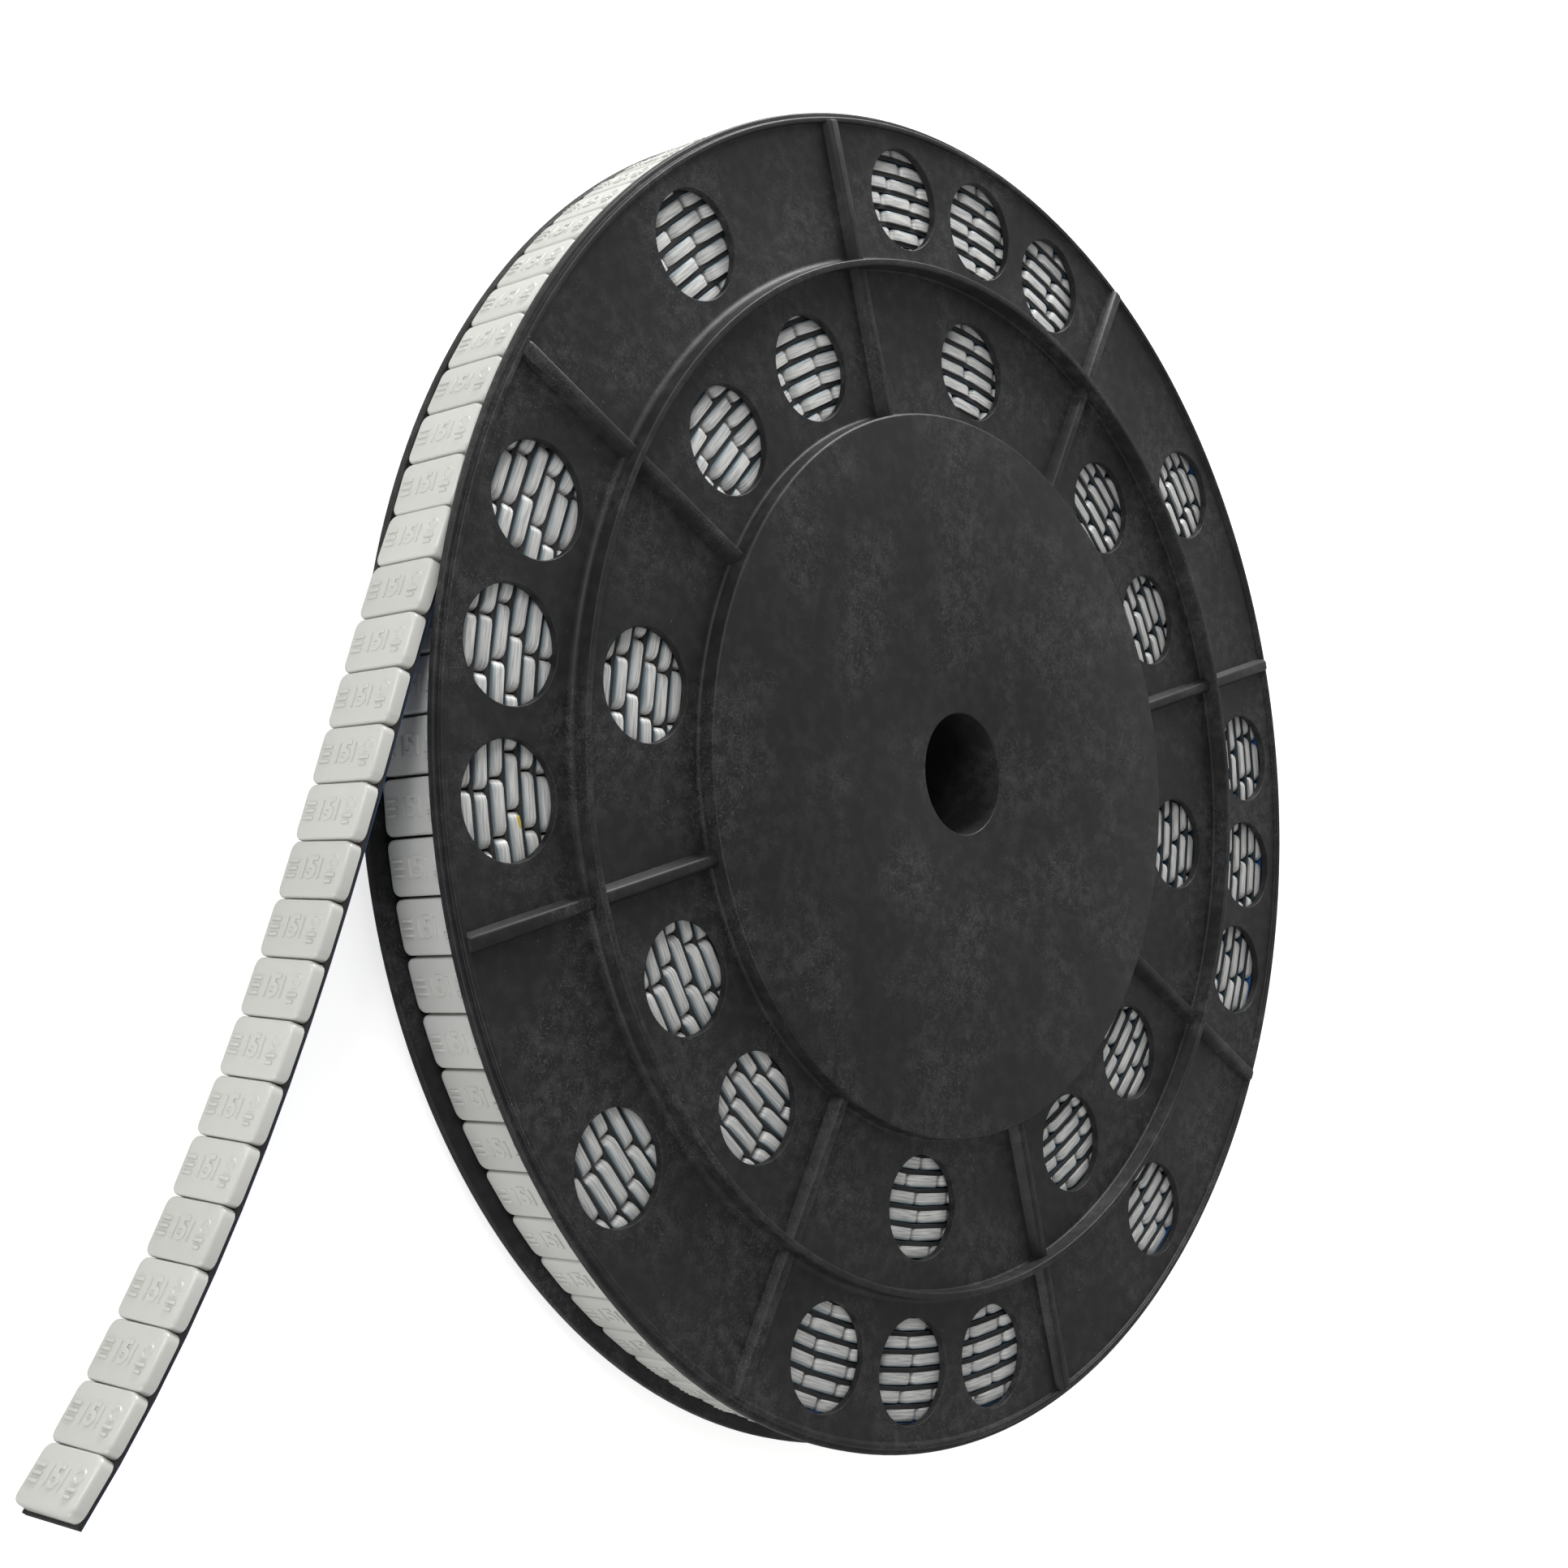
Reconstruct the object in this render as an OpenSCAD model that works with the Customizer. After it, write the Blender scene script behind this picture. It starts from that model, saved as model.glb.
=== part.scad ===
// Roll of adhesive wheel balance weights on its plastic reel, lying on its side.
// Millimetres, +Z up. The origin is on the reel's axis, level with the floor it lies on.
// Angles are measured about that axis from +X, the middle of a group of five flange holes.

/* [Weights] */
// Width of a weight, across the tape
weight_w = 19; // [14:0.5:24]
// Length of a weight, along the tape
weight_l = 11.5; // [9:0.1:16]
// Thickness of a weight
weight_h = 3; // [2:0.1:4]
// Radius of a weight's four upright corners
weight_corner_r = 2; // [0.5:0.1:3]
// Radius of the outer face's edges at a weight's two ends, next to its neighbours
weight_end_r = 0.5; // [0.2:0.1:1.5]
// Radius of the outer face's edges at the tape's two sides
weight_side_r = 1.2; // [0.3:0.1:1.8]
// Gap between neighbouring weights on straight tape
weight_gap = 0.3; // [0.2:0.1:1.5]

/* [Tape] */
// How far the foam's edges lie in from the weights' sides
foam_inset = 0.5; // [0.1:0.1:3]
// Thickness of the foam tape
foam_t = 1; // [0.5:0.1:2]
// How far the release liner's edges lie in from the weights' sides
liner_inset = 0.5; // [0.1:0.1:3]
// Thickness of the release liner
liner_t = 0.1; // [0.05:0.05:0.3]

/* [Roll] */
// Turns of tape between the core and the outside of the roll
turns = 18; // [6:1:24]
// Slack between the weights of one turn and the liner of the next
turn_slack = 0.1; // [0.1:0.05:0.4]
// Angle at which the tape leaves the roll
peel_a = -8.8; // [-20:0.1:20]

/* [Free strand] */
// Weights on the free strand
strand_n = 17; // [6:1:24]
// Angle by which the strand starts off the tangent
strand_peel = 5.1; // [2:0.1:8]
// Outward turn from one weight to the next where the strand leaves the roll
strand_turn_start = -1.3; // [-2:0.1:2]
// Outward turn from one weight to the next at the strand's end
strand_turn_end = 3.8; // [0:0.1:5]
// Height of the last weight above the floor
strand_end_lift = 0.2; // [0.1:0.1:3]
// Length of tape past the last weight
tail_l = 0.6; // [0.2:0.1:5]

/* [Reel] */
// Radius of the flanges
flange_r = 162.5; // [150:0.5:190]
// Thickness of a flange's web
web_t = 2; // [1.5:0.1:3]
// Radius of the core that the tape is wound on
core_r = 83; // [70:0.5:95]
// Wall of the core, of the hub's rim and of the axle tube
core_wall = 3; // [2:0.1:5]
// Clearance between the weights and each flange
side_gap = 0.3; // [0.2:0.1:1]
// Clearance between the core and the first turn
core_gap = 0.1; // [0.05:0.05:0.3]
// Radius of the axle bore
bore_r = 15; // [8:0.5:30]
// How far the hub stands out past the core, as a step in its wall
hub_step = 6; // [4:0.5:10]
// Height of the hub and of the ring rib above the web
hub_h = 4.7; // [3:0.1:8]
// Thickness of the hub's end plate
hub_plate_t = 2.2; // [1.5:0.1:3]
// Length of the lip that joins the two halves inside the core
joint_l = 5; // [3:0.5:7]
// Clearance round that lip
joint_gap = 0.15; // [0.05:0.05:0.4]

/* [Ribs and lip] */
// Distance of the ring rib's outer face from the rim
ring_inset = 36; // [33:0.5:42]
// Thickness of the ring rib at its top
ring_t = 1.6; // [1:0.1:3]
// Fillet at the outer foot of the ring rib
ring_fillet = 1.5; // [0.5:0.1:3]
// Height of the radial ribs above the web
rib_h = 2.5; // [1:0.1:3]
// Width of a radial rib at its top
rib_top_w = 2; // [1:0.1:4]
// Draft of a radial rib's sides, in millimetres on each side
rib_draft = 1.2; // [0:0.1:1.5]
// Distance of the low lip from the rim
lip_inset = 1.3; // [1:0.1:3]
// Width of the low lip
lip_w = 1.3; // [1:0.1:3]
// Height of the low lip
lip_h = 1.1; // [0.5:0.1:2]
// Chamfer on the rim's edges
rim_chamfer = 0.4; // [0.1:0.1:0.7]

/* [Holes] */
// Radius of the flange holes
hole_r = 12.5; // [8:0.5:14]
// Distance from the rim to the middle of the outer holes
outer_hole_inset = 19; // [18:0.5:20]
// Web left between the hub and the inner holes
inner_hole_web = 3.8; // [2:0.1:6]
// Angle between neighbouring outer holes in a group of three
outer_hole_a = 12.6; // [12:0.1:15]
// Angle from a spoke line to each inner hole of a pair
inner_hole_a = 9.9; // [9.5:0.1:11]
// How far a weight reaches under a hole before it is modelled on its own
sight = 1.5; // [0.5:0.1:4]

/* [Hidden] */
$fn = 96;
strand_names = [for (i = [1:strand_n]) str("strand_weight_", i < 10 ? "0" : "", i)];

plastic_colour = "#2e2e30";
foam_colour = "#17181a";
liner_colour = "#2468b4";
weight_colour = "#c9cac5";
turns_colour = "#aab0b0";

// The reel, measured from the plane where its two halves meet
half_inner = weight_w / 2 + side_gap;
half_web = half_inner + web_t;
half_h = half_web + hub_h;
mid_z = half_h;
hub_r = core_r + hub_step;
ring_r = flange_r - ring_inset;
lip_r = flange_r - lip_inset;
sector_a = 45;
sectors = 360 / sector_a;
over = 1;

// Holes as [radius, angle]: groups of three over one, then one over two, by turns round the flange
outer_hole_r = flange_r - outer_hole_inset;
inner_hole_r = hub_r + inner_hole_web + hole_r;
holes = [
    for (q = [0:sectors / 2 - 1])
        each [
            for (h = [
                [outer_hole_r, -outer_hole_a],
                [outer_hole_r, 0],
                [outer_hole_r, outer_hole_a],
                [inner_hole_r, 0],
                [outer_hole_r, sector_a],
                [inner_hole_r, sector_a - inner_hole_a],
                [inner_hole_r, sector_a + inner_hole_a]
            ])
                [h[0], h[1] + 2 * q * sector_a]
        ]
];

// The winding is a spiral of straight chords, one chord to a weight, counted inwards from the peel
pitch = weight_l + weight_gap;
foam_w = weight_w - 2 * foam_inset;
liner_w = weight_w - 2 * liner_inset;
tape_t = foam_t + liner_t;
layer = weight_h + tape_t + turn_slack;
peel_r = core_r + core_gap + turns * layer;
spiral_end_a = peel_a - 360 * turns;

function dir(a) = [cos(a), sin(a)];
function back_r(a) = peel_r - layer * (peel_a - a) / 360;
function chord_a(a) = 2 * asin(pitch / 2 / back_r(a));
function heading(v) = atan2(v[1], v[0]);

joint_a = [for (a = peel_a; a > spiral_end_a; a = a - chord_a(a)) a];
joints = [for (a = joint_a) back_r(a) * dir(a)];
outer_n = len([for (a = joint_a) if (a > peel_a - 360) a]);

// A frame is [origin on the liner's back at mid width, heading, dip]: +X along the tape, -Y outwards
function wound_frame(n) = [
    concat(joints[n + 1], mid_z),
    heading(joints[n] - joints[n + 1]),
    0
];

// The strand's frames, with their dips given
function strand_turn(i) = strand_turn_start + (strand_turn_end - strand_turn_start) * i / strand_n;
function along(f, x) = f[0] + x * [cos(f[2]) * cos(f[1]), cos(f[2]) * sin(f[1]), -sin(f[2])];
function strand_frames(dips) = [
    for (
        i = 0, f = [concat(joints[0], mid_z), peel_a + 90 - strand_peel, dips[0]];
        i < strand_n;
        i = i + 1, f = [along(f, pitch), f[1] - strand_turn(i - 1), dips[i]]
    )
        f
];

// It stays level between the flanges and sinks to the floor past their rim, level again at its end
level_strand = strand_frames([for (i = [1:strand_n]) 0]);
level_n = len([for (f = level_strand) if (norm([f[0][0], f[0][1]]) < flange_r) f]);
strand_drop = mid_z - weight_w / 2 - strand_end_lift;
swell = [
    for (i = [0:strand_n - 1])
        i < level_n ? 0 : sin(180 * (i - level_n + 0.5) / (strand_n - level_n))
];
function sum(v, i = 0) = i < len(v) ? v[i] + sum(v, i + 1) : 0;
dip_peak = level_n < strand_n ? asin(strand_drop / pitch / sum(swell)) : 0;
strand = strand_frames(dip_peak * swell);

// A point of a frame's cross-section: x along the tape, out from the liner's back, up from mid width
function section_point(f, x, out, up) =
    along(f, x)
    + out * [sin(f[1]), -cos(f[1]), 0]
    + up * [sin(f[2]) * cos(f[1]), sin(f[2]) * sin(f[1]), cos(f[2])];

// A joint of the winding, mitred between the chords on its two sides
function mitre(n) =
    let (
        before = heading(joints[n] - joints[n + 1]),
        after = n > 0 ? heading(joints[n - 1] - joints[n]) : strand[0][1],
        half = (after - before) / 2
    )
        [concat(joints[n], mid_z), before + half, 1 / cos(half)];

// Four corners of a strip's section, from out0 to out1 off the liner's back and w wide
function ring_at(f, x, out0, out1, w) = [
    section_point(f, x, out0, -w / 2),
    section_point(f, x, out0, w / 2),
    section_point(f, x, out1, w / 2),
    section_point(f, x, out1, -w / 2)
];
function mitred_ring(n, out0, out1, w) =
    let (m = mitre(n), f = [m[0], m[1], 0])
        ring_at(f, 0, out0 * m[2], out1 * m[2], w);

// The tape from the inner end of the outer turn, round the roll and out along the strand
function strip_rings(out0, out1, w) = concat(
    [ring_at(wound_frame(outer_n - 1), 0, out0, out1, w)],
    [for (n = [outer_n - 1:-1:0]) mitred_ring(n, out0, out1, w)],
    [
        for (f = strand)
            each [
                ring_at(f, weight_gap / 2, out0, out1, w),
                ring_at(f, pitch - weight_gap / 2, out0, out1, w)
            ]
    ],
    [ring_at(strand[strand_n - 1], pitch - weight_gap / 2 + tail_l, out0, out1, w)]
);

// A solid swept through four-cornered rings
module sweep(rings) {
    last = 4 * (len(rings) - 1);
    sides = [
        for (k = [0:len(rings) - 2], j = [0:3])
            let (a = 4 * k + j, b = 4 * k + (j + 1) % 4)
                each [[a, b, b + 4], [a, b + 4, a + 4]]
    ];
    caps = [[2, 1, 0], [3, 2, 0], [last, last + 1, last + 2], [last, last + 2, last + 3]];
    polyhedron(points = [for (r = rings) each r], faces = concat(sides, caps));
}

// A rectangle with its corners rounded, all four or the two at the top
module rounded(w, h, r, all_four) {
    low = all_four ? r : 0;
    translate([-w / 2 + r, 0]) square([w - 2 * r, h]);
    translate([-w / 2, low]) square([w, h - r - low]);
    for (s = [-1, 1]) {
        translate([s * (w / 2 - r), h - r]) circle(r);
        if (all_four) translate([s * (w / 2 - r), r]) circle(r);
    }
}

// One weight, lying flat: length along X, width along Y, outer face up
module weight() {
    intersection() {
        linear_extrude(weight_h)
            translate([0, -weight_w / 2]) rounded(weight_l, weight_w, weight_corner_r, true);
        rotate([90, 0, 0])
            translate([0, 0, -weight_w / 2 - over])
                linear_extrude(weight_w + 2 * over)
                    rounded(weight_l, weight_h, weight_end_r, false);
        rotate([90, 0, 90])
            translate([0, 0, -weight_l / 2 - over])
                linear_extrude(weight_l + 2 * over)
                    rounded(weight_w, weight_h, weight_side_r, false);
    }
}

// A weight on the foam, in a frame of the tape
module placed_weight(f) {
    color(weight_colour)
        translate(f[0])
            rotate([0, f[2], f[1]])
                translate([pitch / 2, -tape_t, 0])
                    rotate([90, 0, 0])
                        weight();
}

module strand_weight(i) {
    placed_weight(strand[i]);
}

module outer_turn_weights() {
    for (n = [0:outer_n - 1]) placed_weight(wound_frame(n));
}

module foam_tape() {
    color(foam_colour) sweep(strip_rings(liner_t, tape_t, foam_w));
}

module release_liner() {
    color(liner_colour) sweep(strip_rings(0, liner_t, liner_w));
}

// Outline of a wound weight, seen along the reel's axis
function weight_plan(n) =
    let (
        start = joints[n + 1],
        u = (joints[n] - start) / norm(joints[n] - start),
        v = [u[1], -u[0]]
    )
        [
            for (c = [[0, 0], [1, 0], [1, 1], [0, 1]])
                start + u * (weight_gap / 2 + c[0] * weight_l) + v * (tape_t + c[1] * weight_h)
        ];

// Does a flange hole show this weight?
function shown(n) =
    let (
        a = (joint_a[n] + joint_a[n + 1]) / 2,
        r = back_r(a) + tape_t + weight_h / 2
    )
        min([
            for (h = holes)
                let (d = r * dir(a - h[1]) - [h[0], 0])
                    norm([
                        max(0, abs(d[0]) - weight_h / 2),
                        max(0, abs(d[1]) - weight_l / 2)
                    ])
        ]) < hole_r - sight;

// The roll under its outer turn: foam and weights wound into one body.
// Its weights stand out past the foam's edges wherever a flange hole shows them.
module inner_turns() {
    step_a = joint_a[outer_n];
    chord = joints[1] - joints[0];
    step_r = cross(joints[0], chord) / cross(dir(step_a), chord);
    outline = concat([step_r * dir(step_a)], [for (n = [1:outer_n]) joints[n]]);
    color(turns_colour)
        translate([0, 0, mid_z]) {
            translate([0, 0, -foam_w / 2])
                linear_extrude(foam_w)
                    difference() {
                        polygon(outline);
                        circle(core_r + core_gap);
                    }
            for (n = [outer_n:len(joints) - 2])
                if (shown(n))
                    translate([0, 0, -weight_w / 2])
                        linear_extrude(weight_w) polygon(weight_plan(n));
        }
}

// Half section of the reel above its middle plane, with or without the joining lip
module half_section(lip) {
    wall_in = core_r - core_wall;
    lip_out = core_r - core_wall / 2;
    difference() {
        polygon([
            [bore_r, 0],
            [bore_r + core_wall, 0],
            [bore_r + core_wall, half_h - hub_plate_t],
            [hub_r - core_wall, half_h - hub_plate_t],
            [hub_r - core_wall, half_web],
            [wall_in, half_web],
            [wall_in, 0],
            [core_r, 0],
            [core_r, half_inner],
            [flange_r - rim_chamfer, half_inner],
            [flange_r, half_inner + rim_chamfer],
            [flange_r, half_web - rim_chamfer],
            [flange_r - rim_chamfer, half_web],
            [lip_r, half_web],
            [lip_r - rim_chamfer / 2, half_web + lip_h],
            [lip_r - lip_w + rim_chamfer / 2, half_web + lip_h],
            [lip_r - lip_w, half_web],
            [ring_r + ring_fillet, half_web],
            [ring_r + ring_fillet * 0.3, half_web + ring_fillet * 0.3],
            [ring_r, half_web + ring_fillet],
            [ring_r, half_h],
            [ring_r - ring_t, half_h],
            [ring_r - ring_t, half_web],
            [hub_r, half_web],
            [hub_r, half_h - rim_chamfer],
            [hub_r - rim_chamfer, half_h],
            [bore_r, half_h]
        ]);
        if (!lip)
            translate([wall_in - over, -over])
                square([lip_out - wall_in + over + joint_gap, joint_l + joint_gap + over]);
    }
    if (lip)
        translate([wall_in, -joint_l]) square([lip_out - wall_in, joint_l + over]);
}

// A radial rib from the hub to the lip, lying along +X
module radial_rib() {
    sink = web_t / 2;
    foot = rib_top_w / 2 + rib_draft * (rib_h + sink) / rib_h;
    translate([hub_r - core_wall / 2, 0, half_web])
        rotate([90, 0, 90])
            linear_extrude(lip_r - lip_w / 2 - hub_r + core_wall / 2)
                polygon([
                    [-foot, -sink],
                    [foot, -sink],
                    [rib_top_w / 2, rib_h],
                    [-rib_top_w / 2, rib_h]
                ]);
}

// One moulded half of the reel, standing on the middle plane
module reel_half(lip) {
    difference() {
        union() {
            rotate_extrude() half_section(lip);
            for (k = [0:sectors - 1]) rotate((k + 0.5) * sector_a) radial_rib();
        }
        for (h = holes)
            rotate(h[1])
                translate([h[0], 0, half_inner - over])
                    cylinder(r = hole_r, h = web_t + hub_h + 2 * over);
    }
}

module reel_upper() {
    color(plastic_colour) translate([0, 0, mid_z]) reel_half(true);
}

module reel_lower() {
    color(plastic_colour) translate([0, 0, mid_z]) mirror([0, 0, 1]) reel_half(false);
}

reel_upper();
reel_lower();
inner_turns();
foam_tape();
release_liner();
outer_turn_weights();
for (i = [0:strand_n - 1])
    strand_weight(i);
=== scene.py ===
"""The looks of a roll of adhesive wheel balance weights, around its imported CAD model.

Fields hold millimetres and degrees. Meshes are in metres, in the CAD's own frame: +Z up along the
reel's axis, the origin on that axis at floor level, and +X through a group of five flange holes.
"""

from __future__ import annotations

import logging
import math
import random
from collections.abc import Callable
from dataclasses import dataclass, field
from enum import Enum

import bpy
from mathutils import Matrix, Vector

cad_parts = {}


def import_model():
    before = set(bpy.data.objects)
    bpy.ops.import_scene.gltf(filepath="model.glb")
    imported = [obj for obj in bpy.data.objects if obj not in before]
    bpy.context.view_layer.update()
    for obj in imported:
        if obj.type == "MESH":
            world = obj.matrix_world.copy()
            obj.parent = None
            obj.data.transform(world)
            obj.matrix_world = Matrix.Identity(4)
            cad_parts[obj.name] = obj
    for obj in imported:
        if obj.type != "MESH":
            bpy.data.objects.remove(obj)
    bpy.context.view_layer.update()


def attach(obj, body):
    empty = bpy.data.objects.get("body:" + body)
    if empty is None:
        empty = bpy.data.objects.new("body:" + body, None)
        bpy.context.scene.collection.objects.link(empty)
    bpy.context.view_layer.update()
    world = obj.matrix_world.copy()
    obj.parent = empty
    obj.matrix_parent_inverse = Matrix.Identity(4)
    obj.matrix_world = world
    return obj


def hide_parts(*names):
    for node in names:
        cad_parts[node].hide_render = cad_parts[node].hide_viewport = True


LOG = logging.getLogger("weight_roll")
MM = 0.001
MERGE = 0.001 * MM
BODY = "root"

Point = tuple[float, float]
Inputs = dict[str | int, object]


def srgb(code: str) -> tuple[float, float, float, float]:
    """Turn an sRGB hex colour into linear RGBA.

    Args:
        code: Six hex digits after a hash.

    Returns:
        The colour as a node socket takes it.
    """
    parts = [int(code[i : i + 2], 16) / 255 for i in (1, 3, 5)]
    line = [c / 12.92 if c <= 0.04045 else ((c + 0.055) / 1.055) ** 2.4 for c in parts]
    return (line[0], line[1], line[2], 1.0)


def add_node(
    tree: bpy.types.NodeTree, kind: str, inputs: Inputs | None = None, **settings: object
) -> bpy.types.Node:
    """Add a node with its settings, values and links.

    Args:
        tree: The node tree.
        kind: The node's type name.
        inputs: Input name or index to a socket to link from, or a value.
        settings: Properties of the node.

    Returns:
        The new node.
    """
    node = tree.nodes.new(kind)
    for name, value in settings.items():
        setattr(node, name, value)
    for key, value in (inputs or {}).items():
        if isinstance(value, bpy.types.NodeSocket):
            tree.links.new(value, node.inputs[key])
        else:
            node.inputs[key].default_value = value
    return node


def activate(*pieces: bpy.types.Object) -> None:
    """Select these objects alone, the first of them active."""
    bpy.ops.object.select_all(action="DESELECT")
    for piece in pieces:
        piece.select_set(True)
    if pieces:
        bpy.context.view_layer.objects.active = pieces[0]


def edit(piece: bpy.types.Object, wanted: Callable[[Vector, Vector], bool]) -> None:
    """Enter edit mode with the edges selected whose two ends pass a test.

    Args:
        piece: The object.
        wanted: Says whether an edge with these two ends is selected.
    """
    activate(piece)
    bpy.context.tool_settings.mesh_select_mode = (False, True, False)
    mesh = piece.data
    for group in (mesh.vertices, mesh.edges, mesh.polygons):
        group.foreach_set("select", [False] * len(group))
    for edge in mesh.edges:
        ends = [mesh.vertices[i] for i in edge.vertices]
        edge.select = bool(wanted(ends[0].co, ends[1].co))
        if edge.select:
            for end in ends:
                end.select = True
    bpy.ops.object.mode_set(mode="EDIT")


def leave() -> None:
    """Go back to object mode."""
    bpy.ops.object.mode_set(mode="OBJECT")


def settle(piece: bpy.types.Object) -> None:
    """Put an object's place, turn and scale into its mesh."""
    activate(piece)
    bpy.ops.object.transform_apply(location=True, rotation=True, scale=True)


def apply_modifier(piece: bpy.types.Object, kind: str, **settings: object) -> None:
    """Add a modifier with its settings and apply it.

    Args:
        piece: The object.
        kind: The modifier's type.
        settings: Properties of the modifier.
    """
    activate(piece)
    modifier = piece.modifiers.new(kind.lower(), kind)
    for name, value in settings.items():
        setattr(modifier, name, value)
    bpy.ops.object.modifier_apply(modifier=modifier.name)


def combine(piece: bpy.types.Object, tool: bpy.types.Object, operation: str) -> None:
    """Join a tool to a piece, cut it away or keep what both share, and delete the tool.

    Args:
        piece: The object that stays.
        tool: The other object.
        operation: UNION, DIFFERENCE or INTERSECT.
    """
    apply_modifier(piece, "BOOLEAN", operation=operation, solver="EXACT", object=tool)
    bpy.data.objects.remove(tool)


def smooth(piece: bpy.types.Object, angle: float) -> None:
    """Shade smooth, with edges sharper than this many degrees left sharp."""
    activate(piece)
    bpy.ops.object.shade_smooth_by_angle(angle=math.radians(angle))


def face_outwards(piece: bpy.types.Object) -> None:
    """Merge doubled points and turn the faces outwards."""
    edit(piece, lambda a, b: True)
    bpy.ops.mesh.select_all(action="SELECT")
    bpy.ops.mesh.remove_doubles(threshold=MERGE)
    bpy.ops.mesh.normals_make_consistent(inside=False)
    leave()


def copies(master: bpy.types.Object, places: list[Matrix]) -> bpy.types.Object:
    """Copy an object to several places, join the copies and delete the original.

    Args:
        master: The object to copy.
        places: One matrix for each copy.

    Returns:
        The joined copies, with their places in the mesh.
    """
    made = []
    for place in places:
        copy = master.copy()
        copy.data = master.data.copy()
        bpy.context.scene.collection.objects.link(copy)
        copy.matrix_world = place
        made.append(copy)
    bpy.data.objects.remove(master)
    bpy.context.view_layer.update()
    activate(*made)
    bpy.ops.object.join()
    settle(made[0])
    return made[0]


def finish_piece(
    piece: bpy.types.Object,
    name: str,
    material: bpy.types.Material,
    nodes: tuple[str, ...],
) -> None:
    """Dress a finished piece, hang it on its body and hide the CAD nodes that it stands for.

    Args:
        piece: The object.
        name: The piece's name.
        material: The piece's finish.
        nodes: The CAD nodes that the piece stands for.
    """
    piece.name = piece.data.name = name
    piece.data.materials.clear()
    piece.data.materials.append(material)
    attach(piece, BODY)
    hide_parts(*nodes)
    LOG.info("%s: %d faces", name, len(piece.data.polygons))


def rounded_path(corners: list[tuple[float, float, float]], steps: int) -> list[Point]:
    """Round the corners of a closed outline.

    Args:
        corners: Points as (x, y, radius).
        steps: Segments of each rounding.

    Returns:
        The outline's points, in order.
    """
    path: list[Point] = []
    for i, (x, y, radius) in enumerate(corners):
        here = Vector((x, y))
        if radius <= 0:
            path.append((x, y))
            continue
        before = (Vector(corners[i - 1][:2]) - here).normalized()
        after = (Vector(corners[(i + 1) % len(corners)][:2]) - here).normalized()
        half = before.angle(after) / 2
        reach = radius / math.tan(half)
        middle = here + (before + after).normalized() * (radius / math.sin(half))
        start, end = here + before * reach - middle, here + after * reach - middle
        for k in range(steps + 1):
            path.append(tuple(middle + start.lerp(end, k / steps).normalized() * radius))
    return path


def lathe(path: list[Point], steps: int) -> bpy.types.Object:
    """Spin an outline of radius and height round the Z axis.

    Args:
        path: The outline, in millimetres. It is closed, unless it starts on the axis.
        steps: Segments of a full turn.

    Returns:
        The closed shell.
    """
    bpy.ops.object.select_all(action="DESELECT")
    bpy.ops.mesh.primitive_plane_add(size=MM)
    piece = bpy.context.object
    bpy.context.tool_settings.mesh_select_mode = (True, False, False)
    bpy.ops.object.mode_set(mode="EDIT")
    bpy.ops.mesh.merge(type="CENTER")
    last = Vector((0.0, 0.0, 0.0))
    closing = path[:1] if path[0][0] > 0 else []
    for i, (radius, height) in enumerate(path + closing):
        here = Vector((radius, 0.0, height)) * MM
        step = {"value": here - last}
        if i == 0:
            bpy.ops.transform.translate(**step)
        else:
            bpy.ops.mesh.extrude_region_move(TRANSFORM_OT_translate=step)
        last = here
    bpy.ops.mesh.select_all(action="SELECT")
    bpy.ops.mesh.remove_doubles(threshold=MERGE)
    bpy.ops.mesh.select_all(action="SELECT")
    bpy.ops.mesh.spin(steps=steps, angle=math.tau, center=(0, 0, 0), axis=(0, 0, 1))
    leave()
    face_outwards(piece)
    return piece


@dataclass(frozen=True)
class Place:
    """A spot on the tape: a point on the liner's back at mid width, its heading and its dip."""

    point: Vector
    heading: float
    dip: float = 0.0

    def along(self, distance: float) -> Vector:
        """Return the point this far along the tape."""
        flat = math.cos(self.dip)
        way = Vector((flat * math.cos(self.heading), flat * math.sin(self.heading), -math.sin(self.dip)))
        return self.point + way * distance

    def matrix(self, ahead: float, out: float) -> Matrix:
        """Return the matrix of a thing that lies on the tape with its length along it.

        Args:
            ahead: How far along the tape from this point.
            out: How far outwards from the liner's back.

        Returns:
            The matrix, in metres.
        """
        turn = Matrix.Rotation(self.heading, 4, "Z") @ Matrix.Rotation(self.dip, 4, "Y")
        step = Matrix.Translation(Vector((ahead, -out, 0.0)) * MM)
        return Matrix.Translation(self.point * MM) @ turn @ step @ Matrix.Rotation(math.pi / 2, 4, "X")


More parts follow.
